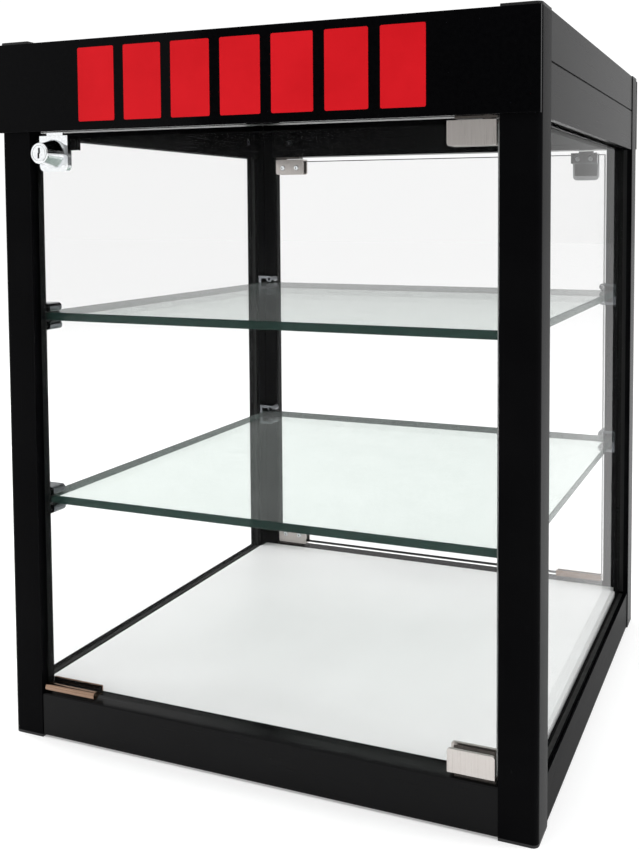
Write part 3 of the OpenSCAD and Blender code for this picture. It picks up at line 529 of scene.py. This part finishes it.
def film_block_tree():
    """Cut film on an upright front: rectangles with rounded corners, standing off towards -Y."""
    tree, given = new_group("film_blocks", (
        ("Geometry", "Geometry", None), ("Width", "Float", 30 * MM),
        ("Height", "Float", 50 * MM), ("Corner", "Float", 1 * MM),
        ("Thickness", "Float", 0.2 * MM), ("Material", "Material", None)))
    outline = add(tree, "GeometryNodeCurvePrimitiveQuadrilateral", {
        "Width": given["Width"], "Height": given["Height"]})
    rounded = add(tree, "GeometryNodeFilletCurve", {
        "Curve": outline.outputs["Curve"], "Count": CORNER_STEPS, "Radius": given["Corner"]},
        mode="POLY")
    sheet = add(tree, "GeometryNodeFillCurve", {"Curve": rounded.outputs["Curve"]}, mode="NGONS")
    front = add(tree, "GeometryNodeExtrudeMesh", {
        "Mesh": sheet.outputs["Mesh"], "Offset Scale": given["Thickness"]}, mode="FACES")
    back = add(tree, "GeometryNodeFlipFaces", {"Mesh": sheet.outputs["Mesh"]})
    both = add(tree, "GeometryNodeJoinGeometry", {
        "Geometry": [front.outputs["Mesh"], back.outputs["Mesh"]]})
    closed = add(tree, "GeometryNodeMergeByDistance", {
        "Geometry": both.outputs["Geometry"], "Distance": 0.01 * MM})
    upright = (math.radians(90), 0.0, 0.0)
    set_out(tree, closed.outputs["Geometry"], given["Geometry"], upright, given["Material"])
    return tree


def loose_parts(node):
    """The lowest and highest corners of each separate solid of a node."""
    shape = shape_of(node)
    found, boxes = set(), []
    for start in shape.verts:
        if start in found:
            continue
        found.add(start)
        reached, ends = [start], [start]
        while ends:
            here = ends.pop()
            for edge in here.link_edges:
                there = edge.other_vert(here)
                if there not in found:
                    found.add(there)
                    reached.append(there)
                    ends.append(there)
        boxes.append([Vector([pick(v.co[i] for v in reached) for i in range(3)])
                      for pick in (min, max)])
    shape.free()
    return boxes


def grown(tree, points, directions, values):
    """What the tree makes on the points, as a plain mesh."""
    mesh = bpy.data.meshes.new("points")
    mesh.from_pydata([tuple(p) for p in points], [], [])
    way = mesh.attributes.new("direction", "FLOAT_VECTOR", "POINT")
    for item, direction in zip(way.data, directions):
        item.vector = direction
    holder = bpy.data.objects.new("points", mesh)
    bpy.context.scene.collection.objects.link(holder)
    modifier = holder.modifiers.new("grown", "NODES")
    modifier.node_group = tree
    named = {item.name: item.identifier
             for item in tree.interface.items_tree if item.in_out == "INPUT"}
    for label, value in values.items():
        modifier[named[label]] = value
    ready = holder.evaluated_get(bpy.context.evaluated_depsgraph_get())
    result = bpy.data.meshes.new_from_object(ready)
    holder.modifiers.remove(modifier)
    bpy.data.objects.remove(holder)
    return result


SCREWS = socket_screw_tree()
FILM_BLOCKS = film_block_tree()


def socket_screws(node, look):
    """Socket screws in place of a node's plain ones: each takes its size and place from its own
    solid, and shows its socket towards the middle of the case."""
    middle = (cad_box[0] + cad_box[1]) / 2
    kinds = {}
    for low, high in loose_parts(node):
        size = high - low
        centre = (low + high) / 2
        # the length is the size that differs most from the other two
        along = max(range(3), key=lambda i: min(abs(size[i] - size[j]) for j in range(3) if j != i))
        direction = Vector((0, 0, 0))
        direction[along] = math.copysign(1, middle[along] - centre[along])
        across = max(size[i] for i in range(3) if i != along)
        kind = (round(across / MM, 1), round(size[along] / MM, 1))
        kinds.setdefault(kind, []).append((centre, direction))
    shape = bmesh.new()
    for kind, places in kinds.items():
        across, length = (size * MM for size in kind)
        shape.from_mesh(grown(SCREWS, [p for p, d in places], [d for p, d in places], {
            "Diameter": across, "Length": length, "Chamfer": across * CHAMFER_SHARE,
            "Socket Width": across * SOCKET_SHARE,
            "Socket Depth": min(DEEPEST_SOCKET, length * SOCKET_DEPTH_SHARE),
            "Material": LOOKS[look]}))
    make_piece(node + "_socketed", shape, [look], node)


def film_blocks(node, look):
    """The node's blocks with rounded corners, on the same places."""
    boxes = loose_parts(node)
    size = boxes[0][1] - boxes[0][0]
    backs = [Vector(((low.x + high.x) / 2, high.y, (low.z + high.z) / 2)) for low, high in boxes]
    shape = bmesh.new()
    shape.from_mesh(grown(FILM_BLOCKS, backs, [], {
        "Width": size.x, "Height": size.z, "Thickness": size.y, "Corner": FILM_CORNER,
        "Material": LOOKS[look]}))
    make_piece(node + "_cut", shape, [look], node)


# ---------- the case ----------

# how far edges are rounded or ground
GLASS_ARRIS = 0.5 * MM
MOULDED_EDGE = 0.5 * MM
FASCIA_EDGE = 0.5 * MM
PANEL_EDGE = 0.4 * MM
EXTRUDED_EDGE = 0.35 * MM
FINE_EXTRUDED_EDGE = 0.2 * MM
HINGE_EDGE = 0.3 * MM
LOCK_EDGE = 0.25 * MM
FOLDED_EDGE = 0.15 * MM

# doors: painted highlight on the edge towards +X and painted shade on the others; side panes:
# painted shade on all edges
for node, face, edge, far_edge in (
        ("front_door_glass", "door_face", "lit_edge", "painted_shade_edge"),
        ("rear_door_glass", "door_face", "lit_edge", "painted_shade_edge"),
        ("left_glass", "side_face", "painted_shade_edge", "painted_shade_edge"),
        ("right_glass", "side_face", "painted_shade_edge", "painted_shade_edge"),
        ("upper_shelf", "shelf_face", "shelf_edge", "shelf_edge"),
        ("lower_shelf", "shelf_face", "shelf_edge", "shelf_edge")):
    glass_pane(node, face, edge, far_edge, GLASS_ARRIS)

for side in ("front", "rear"):
    for hand in ("left", "right"):
        rounded_copy(f"{side}_{hand}_post", "post", EXTRUDED_EDGE)
    rounded_copy(side + "_bottom_rail", "front_bar", EXTRUDED_EDGE)
    rounded_copy(side + "_fascia", "fascia", FASCIA_EDGE)
    dress(side + "_header_rail", "front_bar")
for hand in ("left", "right"):
    rounded_copy(hand + "_bottom_rail", "side_rail", FINE_EXTRUDED_EDGE)
    rounded_copy(hand + "_header", "side_bar", FINE_EXTRUDED_EDGE)
rounded_copy("post_top_caps", "cap", MOULDED_EDGE)
rounded_copy("post_foot_caps", "cap", MOULDED_EDGE)
rounded_copy("deck_board", "board", PANEL_EDGE)
rounded_copy("top_panel", "sheet", PANEL_EDGE)
dress("glazing_seals", "rubber")
dress("frame_connectors", "zinc")
socket_screws("connector_screws", "black_zinc")
socket_screws("pivot_seat_screws", "zinc")
dress("shelf_clip_screws", "chrome")
dress("shelf_clip_pads", "rubber")
film_blocks("fascia_graphics", "film")
for level in ("upper", "lower"):
    rounded_copy(level + "_shelf_clips", "smoked", FOLDED_EDGE)
for side in ("front", "rear"):
    for level in ("upper", "lower"):
        rounded_copy(f"{side}_{level}_hinge", "nickel", HINGE_EDGE)
    rounded_copy(side + "_edge_clip", "bronze", FOLDED_EDGE)
    rounded_copy(side + "_lock_body", "chrome", LOCK_EDGE)
    rounded_copy(side + "_lock_plug", "chrome", LOCK_EDGE)
    dress(side + "_lock_bolt", "chrome")
    socket_screws(side + "_lock_grub_screws", "zinc")
    socket_screws(side + "_hinge_screws", "chrome")
    dress(side + "_hinge_pins", "zinc")
    # the pivot seats take the nickel with painted shade in its colour
    dress(side + "_pivot_seats", "shaded_nickel")
    dress(side + "_hinge_pads", "pad")
    dress(side + "_lock_pads", "rubber")


# ---------- studio ----------

FLOOR_REACH = 12.0
# the tent's brightness by direction, before the case, behind it and above it, and as it is seen
TENT_FRONT = 0.36
TENT_BACK = 0.9
TENT_TOP = 0.7
TENT_SEEN = 1.068
# the directions between which it changes from front to back, and from the sides to the top
FRONT_TO_BACK = (-0.8, 0.8)
SIDE_TO_TOP = (0.2, 0.8)


def make_floor():
    """A wide sheet of paper under the case."""
    shape = bmesh.new()
    bmesh.ops.create_grid(shape, x_segments=1, y_segments=1, size=FLOOR_REACH)
    mesh = bpy.data.meshes.new("studio_floor")
    shape.to_mesh(mesh)
    shape.free()
    mesh.materials.append(backdrop_paper())
    floor = bpy.data.objects.new("studio_floor", mesh)
    bpy.context.scene.collection.objects.link(floor)


def soft_light(name, place, aim, wide, high, watts, mirrored=True):
    """An even rectangular lamp; with mirrored off, shiny parts don't show it."""
    lamp = bpy.data.lights.new(name, "AREA")
    lamp.shape = "RECTANGLE"
    lamp.size = wide
    lamp.size_y = high
    lamp.energy = watts
    holder = bpy.data.objects.new(name, lamp)
    holder.location = place
    holder.visible_glossy = mirrored
    holder.rotation_euler = (Vector(aim) - Vector(place)).to_track_quat("-Z", "Y").to_euler()
    bpy.context.scene.collection.objects.link(holder)


def overhead_sun():
    """A very wide, even light from above, as under a white tent; it also whitens the floor far
    out."""
    lamp = bpy.data.lights.new("tent_light", "SUN")
    lamp.energy = 1.0
    lamp.angle = math.radians(110)
    holder = bpy.data.objects.new("tent_light", lamp)
    bpy.context.scene.collection.objects.link(holder)


def make_world():
    """White to look at; what lights and mirrors is brighter behind the case than before it."""
    world = bpy.data.worlds.new("white_studio")
    bpy.context.scene.world = world
    world.use_nodes = True
    tree = world.node_tree
    tree.nodes.clear()
    way = add(tree, "ShaderNodeTexCoord")
    parts = add(tree, "ShaderNodeSeparateXYZ", {0: way.outputs["Generated"]})
    level = add(tree, "ShaderNodeMapRange", {
        "Value": parts.outputs["Y"], "From Min": FRONT_TO_BACK[0], "From Max": FRONT_TO_BACK[1],
        "To Min": TENT_FRONT, "To Max": TENT_BACK})
    glow = add(tree, "ShaderNodeMapRange", {
        "Value": parts.outputs["Z"], "From Min": SIDE_TO_TOP[0], "From Max": SIDE_TO_TOP[1],
        "To Min": level.outputs["Result"], "To Max": TENT_TOP})
    seen = add(tree, "ShaderNodeLightPath")
    strength = add(tree, "ShaderNodeMapRange", {
        "Value": seen.outputs["Is Camera Ray"], "To Min": glow.outputs["Result"],
        "To Max": TENT_SEEN})
    sky = add(tree, "ShaderNodeBackground", {
        "Color": (1, 1, 1, 1), "Strength": strength.outputs["Result"]})
    add(tree, "ShaderNodeOutputWorld", {"Surface": sky.outputs["Background"]})


def make_camera():
    """Stands before the front right post, a little above the middle of the case."""
    lens = bpy.data.cameras.new("studio_camera")
    lens.sensor_width = 36.0
    lens.lens = 43.26
    lens.shift_x = -0.0869
    lens.shift_y = -0.1822
    holder = bpy.data.objects.new("studio_camera", lens)
    holder.location = (0.3391, -0.7846, 0.3885)
    holder.rotation_euler = (math.radians(86.79), math.radians(0.17), math.radians(21.43))
    bpy.context.scene.collection.objects.link(holder)
    bpy.context.scene.camera = holder


make_floor()
make_world()
make_camera()
soft_light("front_left_card", place=(-1.35, -1.45, 0.6), aim=(-0.1, -0.2, 0.35),
           wide=0.9, high=1.0, watts=2.7)
for name, x, watts in (("left_softbox", -2.0, 34), ("right_softbox", 2.0, 30)):
    soft_light(name, place=(x, 0.0, 1.1), aim=(0.0, 0.0, 0.05),
               wide=1.4, high=1.0, watts=watts, mirrored=False)
overhead_sun()

scene = bpy.context.scene
scene.view_settings.view_transform = "Standard"
# a look through the case crosses up to five sheets, with two faces each
scene.cycles.transparent_max_bounces = 32
scene.cycles.max_bounces = 12
